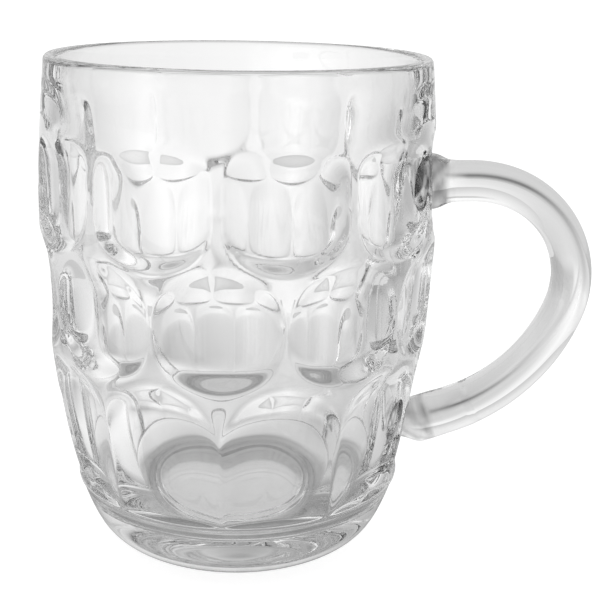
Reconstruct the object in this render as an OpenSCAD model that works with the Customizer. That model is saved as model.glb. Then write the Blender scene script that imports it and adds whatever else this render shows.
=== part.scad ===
// Dimpled glass beer mug: a thick pressed bowl with three staggered rows of
// concave dimples, and a separate glass handle stuck on over two of them.
// Frame: the origin is on the bowl's axis in the plane of the foot ring,
// +Z is up and the handle points along +X. Sizes are in millimetres.

/* [Bowl] */
// Overall height of the bowl, foot to rim
mug_h = 128; // [126:0.5:132]
// Outside diameter just under the rim
rim_d = 95; // [94:0.5:97]
// Wall thickness at the rim
rim_t = 3; // [2.6:0.1:3.6]
// Thickness of the base at its centre, above the foot plane
floor_z = 14; // [12:0.5:15]
// Outside diameter of the ring that the mug rests on
foot_d = 50; // [46:1:52]
// Inside diameter of that ring
foot_in_d = 38; // [32:1:40]
// Depth of the shallow push-up inside the foot ring
push_up = 0.8; // [0.5:0.1:1.5]

/* [Dimples] */
// Dimples around the bowl in each row
per_row = 10; // [8:1:10]
// Depth of a dimple's middle below the ridges
dimple_depth = 2.9; // [2.5:0.1:3]
// Radius of a dimple's hollow, seen from above: the hollows are nearly flat
dimple_r = 130; // [120:5:140]
// How far the hollow's rounded end reaches in from its top and bottom edge
dimple_end = 7; // [5:0.5:8]
// Bottom edge of the lower row
low_z0 = 21.5; // [20.5:0.5:23]
// Top edge of the lower row
low_z1 = 56.5; // [54:0.5:56.5]
// Bottom edge of the middle row
mid_z0 = 57.5; // [57.5:0.5:59]
// Top edge of the middle row
mid_z1 = 84; // [82:0.5:84.5]
// Bottom edge of the upper row
up_z0 = 85; // [85:0.5:87]
// Top edge of the upper row
up_z1 = 111.5; // [109:0.5:112]

/* [Handle] */
// Height of the handle's centre line where it leaves the bowl at the top
grip_z = 97.5; // [96:0.5:98.5]
// Upward tilt of the handle where it leaves the bowl, in degrees
grip_rise = 2; // [0:0.5:3]
// Thickness of the bar in the plane of the handle, upper half
bar_t_up = 10; // [9.5:0.1:11]
// Thickness of the bar in the plane of the handle, lower half
bar_t_low = 11.6; // [11:0.1:12.5]
// Width of the bar across the plane of the handle
bar_w = 13; // [12:0.1:14]
// Height of the pad that spreads over the glass at the upper joint
pad_h = 15; // [14:0.5:16]
// Height of the pad at the lower joint
pad_low_h = 14; // [13.5:0.5:15]

/* [Hidden] */
glass = [0.86, 0.88, 0.89, 0.45];
$fn = 96;
rim_r = rim_d / 2;
lip_r = rim_t / 2;

// Outside shape at the ridges, as [radius over the rim radius, height over the full height]
heel_st = [[foot_d / rim_d, 0], [0.64, 0.016], [0.735, 0.04], [0.8, 0.075], [0.855, 0.12], [0.905, 0.18]];
wall_st = [[0.955, 0.265], [0.998, 0.375], [1.035, 0.5], [1.055, 0.63], [1.057, 0.75], [1.04, 0.84],
           [1.02, 0.92], [1, 1 - lip_r / mug_h]];
// Inside shape, from the edge of the floor to the lip
in_st = [[25, floor_z], [30.5, floor_z + 0.8], [34.2, floor_z + 4], [36, floor_z + 9], [38.4, 38], [40.4, 56],
         [41.9, 80], [42.9, 100], [rim_r - rim_t - 0.3, 116], [rim_r - rim_t, mug_h - lip_r]];

// Smooth curve through a list of points, n steps between neighbours
function at(v, i) = v[max(0, min(len(v) - 1, i))];
function cr(a, b, c, d, t) = 0.5 * ((2 * b) + (c - a) * t + (2 * a - 5 * b + 4 * c - d) * t * t
                                    + (3 * b - a - 3 * c + d) * t * t * t);
function smooth(v, n) = concat([for (i = [0 : len(v) - 2]) for (k = [0 : n - 1])
                                cr(at(v, i - 1), v[i], v[i + 1], at(v, i + 2), k / n)], [v[len(v) - 1]]);
function full(v) = [for (p = v) [p[0] * rim_r, p[1] * mug_h]];
out_pts = concat(smooth(full(heel_st), 2), full(wall_st));
in_pts = smooth(in_st, 3);
function rev(v) = [for (i = [len(v) - 1 : -1 : 0]) v[i]];
// Radius of the outside at the ridges, at height z
function out_r(z) = lookup(z, [for (p = out_pts) [p[1], p[0]]]);
// Half circle over the lip, outside to inside, without its two ends
lip = [for (a = [20 : 20 : 160]) [rim_r - lip_r + lip_r * cos(a), mug_h - lip_r + lip_r * sin(a)]];

// Closed cutter for one dimple: the near part of a barrel with a straight side and
// rounded ends, standing outside the bowl and leaning with the wall
module dimple(z0, z1, r, sweep) {
    h = z1 - z0;
    e = dimple_end;
    back = r - e - 1;
    lean = atan((out_r(z1) - out_r(z0)) / h);
    translate([out_r((z0 + z1) / 2) + r - dimple_depth, 0, (z0 + z1) / 2])
        rotate([0, lean, 0]) rotate([0, 0, 180 - sweep / 2]) rotate_extrude(angle = sweep) {
            translate([back, e - h / 2]) square([r - back, h - 2 * e]);
            translate([back, -h / 2]) square([r - e - back, h]);
            translate([r - e, h / 2 - e]) circle(e);
            translate([r - e, e - h / 2]) circle(e);
        }
}

// Sweep of a cutter that is half as wide as w on each side of its middle
function sweep(w, r) = 2 * asin(w / r);
// The rows: [bottom edge, top edge, turn as a share of the spacing, hollow radius, sweep of the cutter]
low_r = dimple_r - 35;
rows = [[low_z0, low_z1, 0, low_r, sweep(14.2, low_r)], [mid_z0, mid_z1, 0.5, dimple_r, sweep(15.4, dimple_r)],
        [up_z0, up_z1, 0, dimple_r, sweep(15.4, dimple_r)]];
module row(r, columns) {
    for (i = columns)
        rotate([0, 0, (i + r[2]) * 360 / per_row]) dimple(r[0], r[1], r[3], r[4]);
}

// Bowl: one turned outline with the wall, the lip, the thick base and the foot ring
module bowl() {
    color(glass) difference() {
        rotate_extrude()
            polygon(concat(out_pts, lip, rev(in_pts),
                           [[0, floor_z], [0, push_up], [foot_in_d / 2 - 3, push_up], [foot_in_d / 2, 0]]));
        for (r = rows) row(r, [0 : per_row - 1]);
    }
}

// Outside of the bowl without its hollow: what the handle's two ends are fitted to
module bowl_skin() {
    difference() {
        rotate_extrude() polygon(concat([[0, 0]], out_pts, [[0, mug_h - lip_r]]));
        row(rows[0], [0]);
        row(rows[2], [0]);
    }
}

// Centre line of the handle, as runs of [length, radius of the bend, 0 = straight]
root_r = 44;
run_up = 58.5 - root_r;
bends = [[17, 29], [95, 24.5], [50, 48]];
// Position [x, z, heading] after following a bend of t degrees at radius r, turning down
function arc(p, t, r) = [p[0] + r * (sin(p[2]) - sin(p[2] - t)), p[1] + r * (cos(p[2] - t) - cos(p[2])), p[2] - t];
function straight(p, l) = [p[0] + l * cos(p[2]), p[1] + l * sin(p[2]), p[2]];
p0 = [root_r, grip_z - (49 - root_r) * tan(grip_rise), grip_rise];
p1 = straight(p0, run_up);
p2 = arc(p1, bends[0][0], bends[0][1]);
p3 = arc(p2, bends[1][0], bends[1][1]);
p4 = arc(p3, bends[2][0], bends[2][1]);
run_low = (p4[0] - root_r + 2) / -cos(p4[2]);
line = concat([for (k = [0 : 7]) straight(p0, run_up * k / 8)],
              [for (k = [0 : 3]) arc(p1, bends[0][0] * k / 4, bends[0][1])],
              [for (k = [0 : 15]) arc(p2, bends[1][0] * k / 16, bends[1][1])],
              [for (k = [0 : 7]) arc(p3, bends[2][0] * k / 8, bends[2][1])],
              [for (k = [0 : 6]) straight(p4, run_low * k / 6)]);
nl = len(line);
// Smooth step from 0 to 1
function step01(t) = let (u = max(0, min(1, t))) u * u * (3 - 2 * u);
// Flare of the pads: full at the glass, gone a few millimetres out
function flare(d) = pow(max(0, 1 - d / 6.5), 2);
skin_up = 47.8;
skin_low = 44.8;
function half_t(i) = let (p = line[i], u = i / (nl - 1),
                          body = (bar_t_up + (bar_t_low - bar_t_up) * step01((u - 0.3) / 0.3)) / 2)
    body + (u < 0.5 ? (pad_h - bar_t_up) / 2 * flare(p[0] - skin_up)
                    : (pad_low_h - bar_t_low) / 2 * flare(p[0] - skin_low));
function half_w(i) = let (p = line[i], u = i / (nl - 1))
    bar_w / 2 + (u < 0.5 ? 1.2 * flare(p[0] - skin_up) : 1.2 * flare(p[0] - skin_low));
sides = 20;
// Rounded, slightly flattened section
function sup(v) = sign(v) * pow(abs(v), 0.86);
function ring(i) = let (p = line[i])
    [for (k = [0 : sides - 1]) let (a = 360 * k / sides, n = half_t(i) * sup(cos(a)), w = half_w(i) * sup(sin(a)))
        [p[0] - n * sin(p[2]), w, p[1] + n * cos(p[2])]];

// Handle: one swept bar whose ends spread over the glass and fit its outside face to face
module handle() {
    color(glass) difference() {
        polyhedron(
            points = [for (i = [0 : nl - 1]) each ring(i)],
            faces = concat(
                [[for (k = [sides - 1 : -1 : 0]) k]],
                [for (i = [0 : nl - 2]) for (k = [0 : sides - 1]) for (f = [0, 1])
                    let (a = i * sides + k, b = i * sides + (k + 1) % sides)
                    f == 0 ? [a, b + sides, a + sides] : [a, b, b + sides]],
                [[for (k = [0 : sides - 1]) (nl - 1) * sides + k]]));
        bowl_skin();
    }
}

bowl();
handle();
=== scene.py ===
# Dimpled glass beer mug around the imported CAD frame. Two pieces of clear glass, the bowl and the
# handle, are built as closed meshes that share the vertices of their two joints. Mesh sizes are in
# millimetres in the CAD frame and are scaled to metres when a mesh is made.
import math

import bpy
import numpy as np
from mathutils import Matrix, Vector


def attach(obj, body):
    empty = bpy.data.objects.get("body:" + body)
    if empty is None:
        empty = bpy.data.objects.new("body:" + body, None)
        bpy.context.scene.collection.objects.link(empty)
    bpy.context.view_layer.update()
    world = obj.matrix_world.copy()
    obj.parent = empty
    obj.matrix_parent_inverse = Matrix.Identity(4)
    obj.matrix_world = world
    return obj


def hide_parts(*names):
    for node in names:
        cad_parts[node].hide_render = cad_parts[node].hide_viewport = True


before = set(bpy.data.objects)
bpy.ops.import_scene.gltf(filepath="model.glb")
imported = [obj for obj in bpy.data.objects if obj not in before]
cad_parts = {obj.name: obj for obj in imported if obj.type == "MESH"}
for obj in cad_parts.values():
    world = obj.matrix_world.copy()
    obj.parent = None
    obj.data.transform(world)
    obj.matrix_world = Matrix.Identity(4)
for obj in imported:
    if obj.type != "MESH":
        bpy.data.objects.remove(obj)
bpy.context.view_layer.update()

TAU = 2 * math.pi


# ---------------------------------------------------------------- curves
def spline(knots, values):
    """Natural cubic spline through (knots, values), as a function."""
    x = np.asarray(knots, float)
    y = np.asarray(values, float)
    n = len(x)
    h = np.diff(x)
    a = np.zeros((n, n))
    b = np.zeros(n)
    a[0, 0] = a[-1, -1] = 1
    for i in range(1, n - 1):
        a[i, i - 1 : i + 2] = h[i - 1], 2 * (h[i - 1] + h[i]), h[i]
        b[i] = 6 * ((y[i + 1] - y[i]) / h[i] - (y[i] - y[i - 1]) / h[i - 1])
    m = np.linalg.solve(a, b)

    def at(t):
        t = np.asarray(t, float)
        k = np.clip(np.searchsorted(x, t) - 1, 0, n - 2)
        u, v = x[k + 1] - t, t - x[k]
        return (
            (m[k] * u**3 + m[k + 1] * v**3) / (6 * h[k])
            + (y[k] / h[k] - m[k] * h[k] / 6) * u
            + (y[k + 1] / h[k] - m[k + 1] * h[k] / 6) * v
        )

    return at


def through(points, count=4000):
    """Smooth curve through (r, z) points, as dense arrays r, z."""
    p = np.asarray(points, float)
    d = np.concatenate([[0], np.cumsum(np.sqrt(np.hypot(*np.diff(p, axis=0).T)))])
    t = np.linspace(0, d[-1], count)
    return spline(d, p[:, 0])(t), spline(d, p[:, 1])(t)


# ---------------------------------------------------------------- bowl
# Outside at the ridges, from the circle that the mug rests on up to the lip
OUTSIDE = [
    (25.2, 0.0), (25.8, 0.12), (26.5, 0.44), (27.7, 1.02), (29.8, 2.05), (32.5, 3.3), (34.9, 5.0), (36.8, 7.1),
    (38.4, 9.8), (39.8, 12.9), (41.15, 16.5), (42.4, 20.5), (44.2, 27.5), (46.1, 37.5), (47.5, 48.5), (48.8, 61),
    (49.7, 74), (50.1, 87), (50.0, 97), (49.4, 107), (48.5, 118), (47.75, 126.5),
]
LIP_Z, LIP_OUT, LIP_IN = 126.5, 47.75, 44.75
# Inside, from the lip down to the edge of the flat floor
INSIDE = [
    (LIP_IN, LIP_Z), (44.3, 119), (43.4, 108), (42.4, 94), (41.6, 80), (40.8, 66), (39.7, 52), (38.4, 38),
    (36.7, 29), (34.7, 22.5), (33.3, 19.2), (32.4, 17.3), (31.7, 16.1), (30.9, 15.2), (30.0, 14.75),
    (29.0, 14.6), (27.9, 14.58),
]
PER_ROW = 10
PITCH = TAU / PER_ROW

prof_r, prof_z = through(OUTSIDE)


def skin(z):
    """Radius of the outside at the ridges, at height z over the heel."""
    return np.interp(z, prof_z, prof_r)


def soft_max(parts, k):
    top = np.max(parts, axis=0)
    return top + k * np.log(sum(np.exp((p - top) / k) for p in parts))


def soft_min(parts, k):
    return -soft_max([-p for p in parts], k)


def hollow(th, z, offset, mid, up, down, p_up, p_down, wide, deep, slope_up, slope_down, ease):
    """Depths of the two nearest hollows of a row, by angle and height; negative outside them. Across,
    a hollow is a plain arc that ends at wide times half the pitch. It runs out gently at the top and
    ends in a steeper ramp at the bottom, along a rounded outline; ease rounds the foot of that ramp."""
    r = skin(z)
    u = np.abs((th / PITCH - offset + 0.5) % 1.0 - 0.5)
    dz = z - mid
    out = []
    for share in (u, 1 - u):
        side = (2 * share / wide) ** 2
        arc = deep * (1 - side) * (r / 49.0)
        keep = np.clip(1 - side, 1e-4, 1)
        d = soft_min([arc, slope_up * (up * keep ** (1 / p_up) - dz)], 0.9 * slope_up)
        if slope_down:
            d = soft_min([d, slope_down * (down * keep ** (1 / p_down) + dz)], ease)
        out.append(d)
    return out


def recess(th, z):
    """How far the pressed hollows lie below the ridges."""
    z = np.asarray(z, float)
    parts = [np.zeros_like(z)]
    parts += hollow(th, z, 0.0, 97.4, 14.0, 13.6, 5.0, 2.3, 0.92, 2.8, 0.45, 0.95, 0.3)
    parts += hollow(th, z, 0.5, 70.9, 14.2, 14.2, 2.0, 2.8, 0.97, 3.2, 0.45, 0.95, 0.6)
    low = hollow(th, z, 0.0, 40.0, 16.4, 0, 2.0, 2.0, 1.02, 3.6, 0.6, 0, 0)
    down = np.clip(40.0 - z, 0, None)
    shelf = 6.0 * (z - 20.6)
    for d in low:
        d = d * (1 - 0.3 * (down / 19.7) ** 2)
        parts.append(soft_min([d, shelf], 0.3))
    return soft_max(parts, 0.28 + 0.37 * np.exp(-(((z - 52) / 8) ** 2)))  # rounder ridges low down


def outside(th, z):
    """Points of the outside at angle th and height z, with the fine mould seam under the ledge."""
    r = skin(z) - recess(th, z) + 0.3 * np.exp(-(((z - 19.7) / 0.5) ** 2))
    return np.stack([r * np.cos(th), r * np.sin(th), z], -1)


class Shell:
    """Collects rings of vertices and the faces between them."""

    def __init__(self):
        self.v, self.f, self.mat, self.shade = [], [], [], []
        self.n = 0

    def add(self, pts, shade=0.0):
        pts = np.asarray(pts, float).reshape(-1, 3)
        ids = np.arange(self.n, self.n + len(pts))
        self.v.append(pts)
        self.shade.append(np.zeros(len(pts)) + shade)
        self.n += len(pts)
        return ids

    def quads(self, a, b, c, d, mat=0):
        self.f.append(np.stack([a, b, c, d], -1).reshape(-1, 4))
        self.mat.append(np.full(len(self.f[-1]), mat))

    def tris(self, a, b, c, mat=0):
        self.f.append(np.stack([a, b, c, c], -1).reshape(-1, 4))
        self.mat.append(np.full(len(self.f[-1]), mat))

    def band(self, a, b, mat=0, flip=False):
        """Quads between two closed rings of the same length, b above a when seen from outside."""
        a1, b1 = np.roll(a, -1), np.roll(b, -1)
        if flip:
            a, a1, b, b1 = a1, a, b1, b
        self.quads(a, a1, b1, b, mat)

    def halve(self, a, b):
        """Joins ring a to ring b, which has half its vertices."""
        a0, a1, a2 = a[::2], a[1::2], np.roll(a[::2], -1)
        b1 = np.roll(b, -1)
        self.tris(a0, a1, b)
        self.tris(a1, b1, b)
        self.tris(a1, a2, b1)

    def fan(self, a, c, mat=0, flip=False):
        a1 = np.roll(a, -1)
        c = np.full(len(a), c)
        if flip:
            a, a1 = a1, a
        self.tris(a, a1, c, mat)

    def mesh(self, name, sharp=()):
        co = np.concatenate(self.v) * 0.001
        faces = []
        for q in np.concatenate(self.f).tolist():
            faces.append(q[:3] if q[2] == q[3] else q)
        me = bpy.data.meshes.new(name)
        me.from_pydata(co.tolist(), [], faces)
        me.polygons.foreach_set("use_smooth", [True] * len(faces))
        me.polygons.foreach_set("material_index", np.concatenate(self.mat).astype(int).tolist())
        me.update()
        if len(sharp):
            wanted = set()
            for ring in sharp:
                for a, b in zip(ring.tolist(), np.roll(ring, -1).tolist()):
                    wanted.add((min(a, b), max(a, b)))
            att = me.attributes.new("sharp_edge", "BOOLEAN", "EDGE")
            ends = np.zeros(len(me.edges) * 2, int)
            me.edges.foreach_get("vertices", ends)
            ends = np.sort(ends.reshape(-1, 2), axis=1)
            att.data.foreach_set("value", [tuple(e) in wanted for e in ends.tolist()])
        me.attributes.new("shade", "FLOAT", "POINT").data.foreach_set("value", np.concatenate(self.shade))
        me.validate()
        return me


COLS = 400
t = -math.pi + np.arange(COLS) * TAU / COLS
TH = t - 0.6 * np.sin(20 * t) / 20  # closer together at the ridges, which stand every 18 degrees
ZONE0, ZONE1, ZONE_N = 18.0, 114.0, 176
zone = np.linspace(ZONE0, ZONE1, ZONE_N + 1)
zone[:10] = 18.0, 18.7, 19.2, 19.55, 19.9, 20.25, 20.6, 21.05, 21.6, 22.2  # closer at the ledge

# The two joints: height of the middle, half height and half width of each pad on the bowl
PADS = {"up": (97.3, 7.4, 7.3), "low": (34.4, 6.1, 7.2)}
PAD_COLS, PAD_ROWS = 14, 20
FOOT_POWER = 2.3
AROUND = 46.0
CAP_SCALES = (0.9, 0.78, 0.64, 0.5, 0.36, 0.2)


def super_r(angle, half_u, half_v, power):
    """Distance from the middle of a superellipse to its edge, at an angle."""
    return (
        np.abs(np.cos(angle) / half_u) ** power + np.abs(np.sin(angle) / half_v) ** power
    ) ** (-1 / power)


def pad_rings(key):
    """Grid indices round the pad's window, and the surface points of the rings inside it."""
    zc, half_v, half_u = PADS[key]
    mid = int(round((zc - ZONE0) / (ZONE1 - ZONE0) * ZONE_N))
    j, i = COLS // 2, mid
    m, n = PAD_COLS, PAD_ROWS
    loop = [(i + k, j + m) for k in range(0, n)]
    loop += [(i + n, j + m - k) for k in range(0, 2 * m)]
    loop += [(i + n - k, j - m) for k in range(0, 2 * n)]
    loop += [(i - n, j - m + k) for k in range(0, 2 * m)]
    loop += [(i - n + k, j + m) for k in range(0, n)]
    rows = np.array([p[0] for p in loop])
    cols = np.array([p[1] for p in loop])
    edge = np.stack([TH[cols] * AROUND, zone[rows]], -1)
    angle = np.arctan2(zone[rows] - zone[i], TH[cols] * AROUND)
    foot = np.stack([np.cos(angle), np.sin(angle)], -1) * super_r(angle, half_u, half_v, FOOT_POWER)[:, None]
    foot[:, 1] += zc
    return rows, cols, edge, foot, angle, np.array([0.0, zc])


def on_skin(uv):
    return outside(uv[..., 0] / AROUND, uv[..., 1])


def painted_heel_shade(z, th):
    """Painted shade: the glass colour darkened towards the bottom over the lowest few millimetres, in a faint wavy
    pattern.
    """
    return 0.72 * np.clip((8.5 - z) / 3, 0, 1) * (0.94 + 0.06 * np.sin(23 * th + 4 * np.sin(5 * th)))


bowl = Shell()
# heel, from the ring it rests on to the start of the hollows
heel_t = np.searchsorted(prof_z, ZONE0)
heel_ids = np.unique(np.round(np.linspace(0, heel_t, 22)[:-1]).astype(int))
rings = []
for k in heel_ids:
    pts = np.stack([prof_r[k] * np.cos(TH), prof_r[k] * np.sin(TH), np.full(COLS, prof_z[k])], -1)
    # painted shade on the heel: the glass colour darkens towards the bottom
    rings.append(bowl.add(pts, painted_heel_shade(prof_z[k], TH)))
zone_rings = [bowl.add(outside(TH, np.full(COLS, z))) for z in zone]
rings += zone_rings
for z in np.linspace(ZONE1, LIP_Z, 8)[1:]:
    rings.append(bowl.add(outside(TH, np.full(COLS, z))))
lip_r = (LIP_OUT - LIP_IN) / 2
for a in np.radians(np.linspace(0, 180, 11)[1:]):
    r, z = LIP_IN + lip_r * (1 + math.cos(a)), LIP_Z + lip_r * math.sin(a)
    rings.append(bowl.add(np.stack([r * np.cos(TH), r * np.sin(TH), np.full(COLS, z)], -1)))

windows = {key: pad_rings(key) for key in PADS}
closed = np.zeros((ZONE_N, COLS), bool)
for key, (rows, cols, *_rest) in windows.items():
    closed[rows.min() : rows.max(), cols.min() : cols.max()] = True
first = len(heel_ids)
for k in range(len(rings) - 1):
    a, b = rings[k], rings[k + 1]
    if first <= k < first + ZONE_N and closed[k - first].any():
        keep = np.nonzero(~closed[k - first])[0]
        nxt = (keep + 1) % COLS
        bowl.quads(a[keep], a[nxt], b[nxt], b[keep])
    else:
        bowl.band(a, b)

grid = np.stack(zone_rings)
caps = {}
for key, (rows, cols, edge, foot, angle, middle) in windows.items():
    outer = grid[rows, cols]
    for s in (0.16, 0.32, 0.48, 0.63, 0.77, 0.9):
        ring = bowl.add(on_skin(edge * (1 - s) + foot * s))
        bowl.band(outer, ring)
        outer = ring
    points = [on_skin(foot)] + [on_skin(middle + (foot - middle) * s) for s in CAP_SCALES]
    centre = on_skin(middle[None, :])
    ids = [bowl.add(p) for p in points]
    bowl.band(outer, ids[0])
    for a, b in zip(ids, ids[1:]):
        bowl.band(a, b, mat=1)
    bowl.fan(ids[-1], bowl.add(centre)[0], mat=1)
    caps[key] = (points, centre, angle)

# inside, on half the columns
in_r, in_z = through(INSIDE)
half_th = TH[::2]
last = rings[-1]
steps = np.unique(np.round(np.linspace(0, len(in_r) - 1, 34)).astype(int))[1:]
prev, fine = last, True
for k in steps:
    ring = bowl.add(np.stack([in_r[k] * np.cos(half_th), in_r[k] * np.sin(half_th), np.full(COLS // 2, in_z[k])], -1))
    if fine:
        bowl.halve(prev, ring)
        fine = False
    else:
        bowl.band(prev, ring)
    prev = ring
for r, z in (
    (27.6, 14.45), (27.3, 14.05), (27.0, 13.75), (26.65, 13.75), (26.35, 14.05), (26.05, 14.45), (25.6, 14.55), (24.8, 14.5),
    (24.5, 14.3), (24.2, 14.0), (23.9, 14.0), (23.6, 14.3), (23.2, 14.5), (20, 14.5), (13, 14.5), (6, 14.5),
):
    ring = bowl.add(np.stack([r * np.cos(half_th), r * np.sin(half_th), np.full(COLS // 2, z)], -1))
    bowl.band(prev, ring)
    prev = ring
bowl.fan(prev, bowl.add([[0, 0, 14.5]])[0])

# underside, a shallow push-up inside the ring that the mug rests on
prev, fine = rings[0][::-1], True
back_th = TH[::-1]
for r in (24.6, 23.8, 22.4, 20.5, 18.3, 15.8, 13.2, 10.5, 8.0, 5.0, 2.5):
    z = 0.4 * (1 - (r / 25.2) ** 2) ** 2
    th = back_th[::2]
    pts = np.stack([r * np.cos(th), r * np.sin(th), np.full(COLS // 2, z)], -1)
    # the outer edge of the underside carries the same painted shade
    ring = bowl.add(pts, painted_heel_shade(0, th) * np.clip((r - 22) / 2.6, 0, 1))
    if fine:
        bowl.halve(prev, ring)
        fine = False
    else:
        bowl.band(prev, ring)
    prev = ring
bowl.fan(prev, bowl.add([[0, 0, 0.4]])[0])

# ---------------------------------------------------------------- handle
# Centre line in the plane of the handle: a straight start, three bends, a straight end
START, RISE, STRAIGHT = np.array([49.0, 97.4]), 2.0, 9.5
BENDS = ((17.0, 29.0), (95.0, 24.5), (50.0, 48.0))
STEP = 0.1


def centre_line():
    heading, turn = [], []
    for _ in range(int(round(STRAIGHT / STEP))):
        turn.append(0.0)
    for deg, radius in BENDS:
        n = int(round(math.radians(deg) * radius / STEP))
        turn += [math.radians(deg) / n] * n
    turn += [0.0] * int(round(12 / STEP))
    turn = np.array(turn)
    width = int(4.0 / STEP)
    kernel = np.hanning(width + 2)[1:-1]
    kernel /= kernel.sum()
    turn = np.convolve(turn, kernel, mode="same")
    head = math.radians(RISE) - np.cumsum(turn)
    mid = head + turn / 2
    p = START + np.cumsum(np.stack([np.cos(mid), np.sin(mid)], -1) * STEP, axis=0)
    return np.concatenate([[START], p]), np.concatenate([[math.radians(RISE)], head])


line, heading = centre_line()
s_line = np.arange(len(line)) * STEP
# stop where the line comes within END_GAP of the bowl's outside
low_cap = caps["low"][1][0]
END_GAP = 5.5
inside_wall = np.nonzero(np.hypot(line[:, 0] - low_cap[0], line[:, 1] - low_cap[2]) < END_GAP)[0]
stop = inside_wall[0] if len(inside_wall) else len(line) - 1
S_END = s_line[stop]
# half thickness in the plane and half width across it, along the bar
HALF_T = spline(
    [0, 1.5, 3, 4.2, 5.5, 8, 14, 24, 60, 85, 110, S_END - 14, S_END - 5.5, S_END - 4, S_END - 2, S_END],
    [6.9, 6.5, 5.75, 5.3, 5.15, 5.1, 5.05, 5.0, 5.05, 5.45, 5.75, 5.75, 5.75, 5.75, 5.7, 5.7],
)
HALF_W = spline(
    [0, 2, 4.2, 6, 10, 20, 60, 110, S_END - 14, S_END - 5.5, S_END - 2, S_END],
    [7.1, 7.0, 6.6, 6.45, 6.4, 6.4, 6.45, 6.5, 6.5, 6.55, 7.0, 7.1],
)
BAR_POWER = 2.4
# shallow parting line along both sides: where it lies round the bar, half width (radians), depth
LINE_WIDE, LINE_DEEP = 0.13, 0.4


def line_at(s):
    return float(np.interp(s, [45, 80], [0.2, -0.45]))




def section(s, angle):
    x = np.interp(s, s_line, line[:, 0])
    z = np.interp(s, s_line, line[:, 1])
    h = np.interp(s, s_line, heading)
    tangent = np.array([math.cos(h), 0, math.sin(h)])
    normal = np.array([-math.sin(h), 0, math.cos(h)])
    w, tt = float(HALF_W(s)), float(HALF_T(s))
    r = super_r(angle, w, tt, BAR_POWER)
    fade = np.clip((s - 5) / 3, 0, 1) * np.clip((S_END - 7 - s) / 4, 0, 1)
    for side in (line_at(s), math.pi - line_at(s)):
        off = (angle - side + math.pi) % TAU - math.pi
        r = r - fade * LINE_DEEP * np.exp(-((off / LINE_WIDE) ** 2))
    pts = np.array([x, 0, z]) + np.outer(r * np.cos(angle), [0, 1, 0]) + np.outer(r * np.sin(angle), normal)
    return pts, tangent


# painted shade: dark lines painted into the bar's glass colour: (distance along the bar, turn from its flat side,
# strength), width
PAINTED_SHADE_LINES = (
    (((2.5, 0.38, 0.5), (8, 0.38, 1.0), (22, 0.37, 1.0), (34, 0.36, 0.7), (50, 0.35, 0.35), (62, 0.34, 0.0)), 0.115),
    (((3.0, -0.5, 0.8), (10, -0.52, 0.8), (17, -0.54, 0.0)), 0.05),
    (((30, 1.1, 0.0), (48, 1.1, 0.32), (70, 1.1, 0.48), (S_END - 16, 1.05, 0.48), (S_END - 4, 1.0, 0.3)), 0.34),
    (((S_END - 42, -0.36, 0.0), (S_END - 28, -0.4, 0.6), (S_END - 12, -0.44, 1.0), (S_END - 4, -0.46, 0.6)), 0.085),
)


# painted shade along the bar, as lines darkening the glass colour
def painted_shade_lines(s, angle):
    out = np.zeros(len(angle))
    for knots, width in PAINTED_SHADE_LINES:
        at, turn, strength = np.array(knots).T
        if at[0] <= s <= at[-1]:
            off = (angle - math.pi + np.interp(s, at, turn) + math.pi) % TAU - math.pi
            out = np.maximum(out, np.interp(s, at, strength) * np.exp(-((off / width) ** 2)))
    return out


def painted_joint_shade(out, angle, edge, depth):
    """Painted shade round a joint, darkening the glass colour in wavy folds, out mm from the bar's end towards its
    middle.
    """
    shade_pattern = 0.5 + 0.5 * np.sin(5 * angle + 3 * np.sin(2 * angle + 1) + 1.8 * out)
    edge = edge + 0.35 * np.sin(4 * angle)
    return (1 - depth + depth * shade_pattern) * np.clip((edge - out) / 0.7, 0, 1)


def surface_normal(p):
    th = np.arctan2(p[:, 1], p[:, 0])
    z = p[:, 2]
    a = outside(th + 1e-3, z) - outside(th - 1e-3, z)
    b = outside(th, z + 0.05) - outside(th, z - 0.05)
    n = np.cross(a, b)
    return n / np.linalg.norm(n, axis=1)[:, None]


def fillet(foot, inward, target, tangent, start_mix, pull_a, pull_b, steps):
    """Rings from the pad's edge on the bowl to the bar, leaving the glass at a slant."""
    n = surface_normal(foot)
    t_in = inward - foot
    t_in /= np.linalg.norm(t_in, axis=1)[:, None]
    d0 = start_mix * t_in + (1 - start_mix) * n
    d0 /= np.linalg.norm(d0, axis=1)[:, None]
    span = np.linalg.norm(target - foot, axis=1)[:, None]
    out = []
    for u in np.linspace(0, 1, steps + 2)[1:-1]:
        u = u**1.35
        h00, h10 = 2 * u**3 - 3 * u**2 + 1, u**3 - 2 * u**2 + u
        h01, h11 = -2 * u**3 + 3 * u**2, u**3 - u**2
        out.append(h00 * foot + h10 * d0 * span * pull_a + h01 * target + h11 * tangent * span * pull_b)
    return out


handle = Shell()
up_points, up_centre, up_angle = caps["up"]
low_points, low_centre, low_angle = caps["low"]
nb = len(up_angle)
# the lower pad is met upside down: its ring is read the other way round from the same start
flip = (-np.arange(nb)) % nb
low_rings = [p[flip] for p in low_points]

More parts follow.
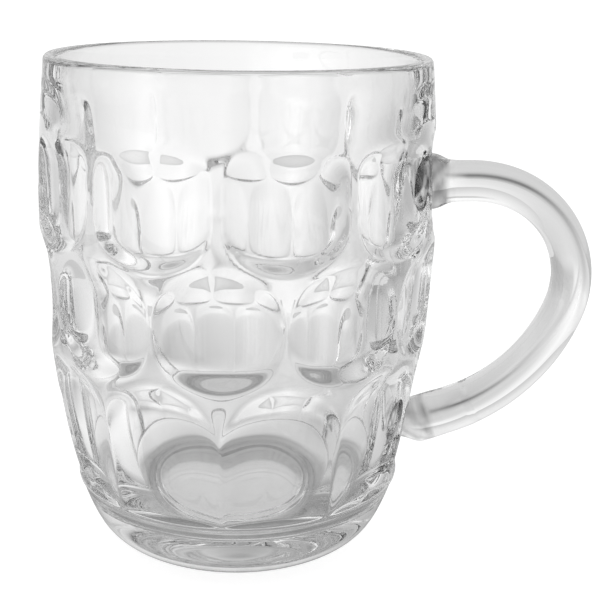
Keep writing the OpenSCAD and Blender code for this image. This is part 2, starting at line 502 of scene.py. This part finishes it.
ids = [handle.add(p) for p in up_points]
for a, b in zip(ids, ids[1:]):
    handle.band(a, b, mat=1, flip=True)
handle.fan(ids[-1], handle.add(up_centre)[0], mat=1, flip=True)
sharp = [ids[0]]
prev = ids[0]
angles = up_angle
first_sec, first_tan = section(0.0, angles)
for k, p in enumerate(fillet(up_points[0], up_points[1], first_sec, first_tan, 0.55, 0.9, 0.9, 9)):
    # painted shade round the upper joint, in the glass colour
    ring = handle.add(p, 0.75 * painted_joint_shade(0.2 * k - 1.8, angles, 3.3, 0.5))
    handle.band(prev, ring)
    prev = ring
for s in np.linspace(0, S_END, int(S_END / 0.9)):
    # painted shade round both joints and painted shade lines along the bar
    shade = np.maximum(0.75 * painted_joint_shade(s, angles, 3.3, 0.5), 0.55 * painted_joint_shade(S_END - s, angles, 3.4, 0.95))
    ring = handle.add(section(s, angles)[0], np.maximum(painted_shade_lines(s, angles), shade))
    handle.band(prev, ring)
    prev = ring
last_sec, last_tan = section(S_END, angles)
back = fillet(low_rings[0], low_rings[1], last_sec, -last_tan, 0.55, 0.9, 0.9, 11)
for k, p in enumerate(back[::-1]):
    # painted shade round the lower joint, in the glass colour
    ring = handle.add(p, 0.55 * painted_joint_shade(-0.2 * k, angles, 3.4, 0.95))
    handle.band(prev, ring)
    prev = ring
ids = [handle.add(p) for p in low_rings]
handle.band(prev, ids[0])
for a, b in zip(ids, ids[1:]):
    handle.band(a, b, mat=1)
handle.fan(ids[-1], handle.add(low_centre)[0], mat=1)
sharp.append(ids[0])


# ---------------------------------------------------------------- materials
def nodes_of(material):
    material.use_nodes = True
    tree = material.node_tree
    tree.nodes.clear()
    return tree, tree.nodes.new, tree.links.new


def glass():
    material = bpy.data.materials.new("clear_pressed_glass")
    tree, new, link = nodes_of(material)
    out = new("ShaderNodeOutputMaterial")
    bsdf = new("ShaderNodeBsdfPrincipled")
    bsdf.inputs["Transmission Weight"].default_value = 1.0
    bsdf.inputs["IOR"].default_value = 1.5
    link(bsdf.outputs["BSDF"], out.inputs["Surface"])
    place = new("ShaderNodeTexCoord")
    tint = new("ShaderNodeTexNoise")
    tint.inputs["Scale"].default_value = 22.0
    tint.inputs["Detail"].default_value = 2.0
    link(place.outputs["Object"], tint.inputs["Vector"])
    ramp = new("ShaderNodeValToRGB")
    ramp.color_ramp.elements[0].position, ramp.color_ramp.elements[0].color = 0.3, (0.975, 0.975, 0.975, 1)
    ramp.color_ramp.elements[1].position, ramp.color_ramp.elements[1].color = 0.7, (0.995, 0.995, 0.995, 1)
    link(tint.outputs["Fac"], ramp.inputs["Fac"])
    # Painted shade: the shade attribute mixes the glass colour towards near black (0.06) at the heel, round the joints
    # and along lines on the bar.
    painted_shade_attr, clear_mix = new("ShaderNodeAttribute"), new("ShaderNodeMix")
    painted_shade_attr.attribute_name = "shade"
    clear_mix.data_type = "RGBA"
    clear_mix.inputs[7].default_value = (0.06, 0.06, 0.06, 1)
    link(painted_shade_attr.outputs["Fac"], clear_mix.inputs[0])
    link(ramp.outputs["Color"], clear_mix.inputs[6])
    link(clear_mix.outputs[2], bsdf.inputs["Base Color"])
    wear = new("ShaderNodeTexNoise")
    wear.inputs["Scale"].default_value = 55.0
    wear.inputs["Detail"].default_value = 3.0
    link(place.outputs["Object"], wear.inputs["Vector"])
    rough = new("ShaderNodeMapRange")
    rough.inputs["From Min"].default_value, rough.inputs["From Max"].default_value = 0.35, 0.75
    rough.inputs["To Min"].default_value, rough.inputs["To Max"].default_value = 0.0, 0.012
    link(wear.outputs["Fac"], rough.inputs["Value"])
    link(rough.outputs["Result"], bsdf.inputs["Roughness"])
    wave = new("ShaderNodeTexNoise")
    wave.inputs["Scale"].default_value = 42.0
    wave.inputs["Detail"].default_value = 1.0
    link(place.outputs["Object"], wave.inputs["Vector"])
    bump = new("ShaderNodeBump")
    bump.inputs["Strength"].default_value = 1.0
    bump.inputs["Distance"].default_value = 0.0002
    link(wave.outputs["Fac"], bump.inputs["Height"])
    link(bump.outputs["Normal"], bsdf.inputs["Normal"])
    return material


def fused():
    """The face where handle and bowl are fused: light passes it unbent, but dimmed in streaks."""
    material = bpy.data.materials.new("fused_joint")
    tree, new, link = nodes_of(material)
    out = new("ShaderNodeOutputMaterial")
    clear = new("ShaderNodeBsdfTransparent")
    place, streak, ramp = new("ShaderNodeTexCoord"), new("ShaderNodeTexNoise"), new("ShaderNodeValToRGB")
    streak.inputs["Scale"].default_value = 110.0
    streak.inputs["Detail"].default_value = 1.0
    streak.inputs["Distortion"].default_value = 0.8
    link(place.outputs["Object"], streak.inputs["Vector"])
    el = ramp.color_ramp.elements
    el[0].position, el[0].color = 0.42, (0.45, 0.45, 0.45, 1)
    el[1].position, el[1].color = 0.6, (0.96, 0.96, 0.96, 1)
    link(streak.outputs["Fac"], ramp.inputs["Fac"])
    link(ramp.outputs["Color"], clear.inputs["Color"])
    link(clear.outputs["BSDF"], out.inputs["Surface"])
    return material


clear_glass, joint = glass(), fused()


def piece(shell, name, node, sharp=()):
    me = shell.mesh(name, sharp)
    me.materials.append(clear_glass)
    me.materials.append(joint)
    ob = bpy.data.objects.new(name, me)
    bpy.context.scene.collection.objects.link(ob)
    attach(ob, "root")
    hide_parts(node)
    return ob


piece(bowl, "bowl_glass", "bowl")
piece(handle, "handle_glass", "handle", sharp)

# ---------------------------------------------------------------- stage
def disc(name, radius, z):
    me = bpy.data.meshes.new(name)
    ring = [(radius * math.cos(a), radius * math.sin(a), z) for a in np.linspace(0, TAU, 97)[:-1]]
    me.from_pydata(ring, [], [list(range(96))])
    me.update()
    ob = bpy.data.objects.new(name, me)
    bpy.context.scene.collection.objects.link(ob)
    return ob


# Studio light round the glass. The camera sees a plain white table and backdrop; glass sees the light on
# them as it falls: dim under the mug, brightest at the back left, dimmer at the right. Each row is a
# radius on the table in millimetres, or a height over the horizon in degrees, with one level for all
# round or one for each side. Side 0 lies straight behind the mug, a minus is to its left.
TABLE_SIDES = (-180, -135, -90, -45, 0, 45, 90, 135)
TABLE_LIGHT = (
    (0, (0.55,)),
    (26, (0.55,)),
    (42, (0.5, 0.45, 0.3, 0.35, 0.4, 0.45, 0.25, 0.25)),
    (53, (0.4, 0.4, 0.4, 0.35, 0.35, 0.45, 0.35, 0.35)),
    (61, (0.6, 0.7, 0.85, 0.7, 0.6, 0.65, 0.6, 0.55)),
    (90, (0.55, 0.75, 0.95, 0.9, 0.75, 0.5, 0.75, 0.4)),
    (150, (0.6, 1.5, 0.9, 0.45, 0.65, 0.7, 0.65, 0.45)),
    (320, (0.7, 2.45, 0.8, 0.7, 1, 0.5, 0.3, 0.4)),
)
SKY_SIDES = (-180, -140, -110, -80, -50, -25, 0, 25, 50, 80, 110, 145)
SKY_LIGHT = (
    (0, (0.9, 1.75, 1.2, 0.6, 0.55, 0.65, 0.6, 0.7, 0.75, 0.7, 0.7, 0.7)),
    (9, (0.6, 1.1, 0.85, 0.55, 0.55, 0.9, 0.8, 0.85, 0.8, 0.75, 0.6, 0.5)),
    (24, (0.25, 0.45, 0.6, 0.55, 0.6, 0.95, 1.1, 1, 0.75, 0.65, 0.5, 0.35)),
    (45, (0.4, 0.5, 0.6, 0.55, 0.55, 0.75, 0.9, 0.85, 0.7, 0.6, 0.5, 0.4)),
    (75, (0.35,)),
)
SWING = math.radians(5.519)
YAW, PITCH_DOWN, ROLL = (math.radians(a) for a in (3.0432, 16.0498, 1.0227))
back_way = YAW - SWING  # from +Y towards +X, straight behind the mug


def chain(tree, operation, *values):
    """A math node; a value is a number or a socket."""
    node = tree.nodes.new("ShaderNodeMath")
    node.operation = operation
    for socket, value in zip(node.inputs, values):
        if isinstance(value, (int, float)):
            socket.default_value = value
        else:
            tree.links.new(value, socket)
    return node.outputs["Value"]


def light_plan(tree, vector, sides, rows, on_table):
    """Level of light from a place on the table, or from a direction of the sky."""
    xyz = tree.nodes.new("ShaderNodeSeparateXYZ")
    tree.links.new(vector, xyz.inputs["Vector"])
    x, y, z = xyz.outputs
    flat = chain(tree, "SQRT", chain(tree, "ADD", chain(tree, "MULTIPLY", x, x), chain(tree, "MULTIPLY", y, y)))
    along = chain(tree, "ADD", chain(tree, "MULTIPLY", x, math.sin(back_way)), chain(tree, "MULTIPLY", y, math.cos(back_way)))
    across = chain(tree, "SUBTRACT", chain(tree, "MULTIPLY", x, math.cos(back_way)), chain(tree, "MULTIPLY", y, math.sin(back_way)))
    side = chain(tree, "ADD", chain(tree, "DIVIDE", chain(tree, "ARCTAN2", across, along), TAU), 0.5)
    at = chain(tree, "MULTIPLY", flat, 1000.0) if on_table else chain(tree, "MULTIPLY", chain(tree, "ARCTAN2", z, flat), 360 / TAU)
    level = None
    for k, (place, levels) in enumerate(rows):
        if len(levels) == 1:
            here = levels[0]
        else:
            ramp = tree.nodes.new("ShaderNodeValToRGB")
            stops = ramp.color_ramp.elements
            for n, (deg, v) in enumerate(zip(sides + (180,), levels + levels[:1])):
                stop = stops[0] if n == 0 else stops.new(deg / 360 + 0.5) if n < len(levels) else stops[len(stops) - 1]
                stop.position = deg / 360 + 0.5
                stop.color = (v, v, v, 1)
            tree.links.new(side, ramp.inputs["Fac"])
            here = ramp.outputs["Color"]
        if level is None:
            level = here
            continue
        span = tree.nodes.new("ShaderNodeMapRange")
        span.inputs["From Min"].default_value, span.inputs["From Max"].default_value = rows[k - 1][0], place
        tree.links.new(at, span.inputs["Value"])
        mix = tree.nodes.new("ShaderNodeMix")
        tree.links.new(span.outputs["Result"], mix.inputs["Factor"])
        for name, value in (("A", level), ("B", here)):
            if isinstance(value, (int, float)):
                mix.inputs[name].default_value = value
            else:
                tree.links.new(value, mix.inputs[name])
        level = mix.outputs["Result"]
    return level


def white_table():
    material = bpy.data.materials.new("white_table")
    tree, new, link = nodes_of(material)
    out, soft = new("ShaderNodeOutputMaterial"), new("ShaderNodeBsdfPrincipled")
    soft.inputs["Base Color"].default_value = (0.6, 0.6, 0.6, 1)
    soft.inputs["Roughness"].default_value = 0.9
    soft.inputs["Specular IOR Level"].default_value = 0.0
    soft.inputs["Emission Color"].default_value = (1, 1, 1, 1)
    soft.inputs["Emission Strength"].default_value = 0.85
    link(soft.outputs["BSDF"], out.inputs["Surface"])
    return material


def lit_table():
    material = bpy.data.materials.new("lit_table")
    tree, new, link = nodes_of(material)
    out, glow, place = new("ShaderNodeOutputMaterial"), new("ShaderNodeEmission"), new("ShaderNodeTexCoord")
    link(light_plan(tree, place.outputs["Object"], TABLE_SIDES, TABLE_LIGHT, True), glow.inputs["Strength"])
    link(glow.outputs["Emission"], out.inputs["Surface"])
    return material


floor = disc("floor", 12, 0.0)
floor.data.materials.append(white_table())
table = disc("floor_in_glass", 12, -0.0001)
table.data.materials.append(lit_table())
floor.visible_transmission = floor.visible_glossy = floor.visible_diffuse = floor.visible_shadow = False
table.visible_camera = False

scene = bpy.context.scene
# ---------------------------------------------------------------- camera
fwd = np.array([math.sin(YAW) * math.cos(PITCH_DOWN), math.cos(YAW) * math.cos(PITCH_DOWN), -math.sin(PITCH_DOWN)])
right = np.array([math.cos(YAW), -math.sin(YAW), 0])
up = np.cross(right, fwd)
r2 = math.cos(ROLL) * right + math.sin(ROLL) * up
u2 = -math.sin(ROLL) * right + math.cos(ROLL) * up
turn = np.array([[math.cos(SWING), -math.sin(SWING), 0], [math.sin(SWING), math.cos(SWING), 0], [0, 0, 1]])
cols3 = [turn @ r2, turn @ u2, turn @ -fwd]
eye = turn @ np.array([0, -0.29957, 0.15103])
cam_data = bpy.data.cameras.new("camera")
cam_data.sensor_width = 36.0
cam_data.lens = 71.55
cam_data.clip_start, cam_data.clip_end = 0.01, 50.0
cam = bpy.data.objects.new("camera", cam_data)
cam.matrix_world = Matrix(
    [[cols3[0][i], cols3[1][i], cols3[2][i], eye[i]] for i in range(3)] + [[0, 0, 0, 1]]
)
scene.collection.objects.link(cam)
scene.camera = cam

# ---------------------------------------------------------------- light
world = bpy.data.worlds.new("studio")
scene.world = world
world.use_nodes = True
tree = world.node_tree
tree.nodes.clear()
new, link = tree.nodes.new, tree.links.new
out = new("ShaderNodeOutputWorld")
background = new("ShaderNodeBackground")
link(background.outputs["Background"], out.inputs["Surface"])
place = new("ShaderNodeTexCoord")
path = new("ShaderNodeLightPath")
mix = new("ShaderNodeMix")
link(path.outputs["Is Camera Ray"], mix.inputs["Factor"])
link(light_plan(tree, place.outputs["Generated"], SKY_SIDES, SKY_LIGHT, False), mix.inputs["A"])
mix.inputs["B"].default_value = 1.2
link(mix.outputs["Result"], background.inputs["Strength"])
background.inputs["Color"].default_value = (1, 1, 1, 1)

scene.view_settings.view_transform = "Standard"
scene.view_settings.look = "None"
scene.cycles.max_bounces = 24
scene.cycles.transmission_bounces = 24
scene.cycles.glossy_bounces = 12
scene.cycles.transparent_max_bounces = 16
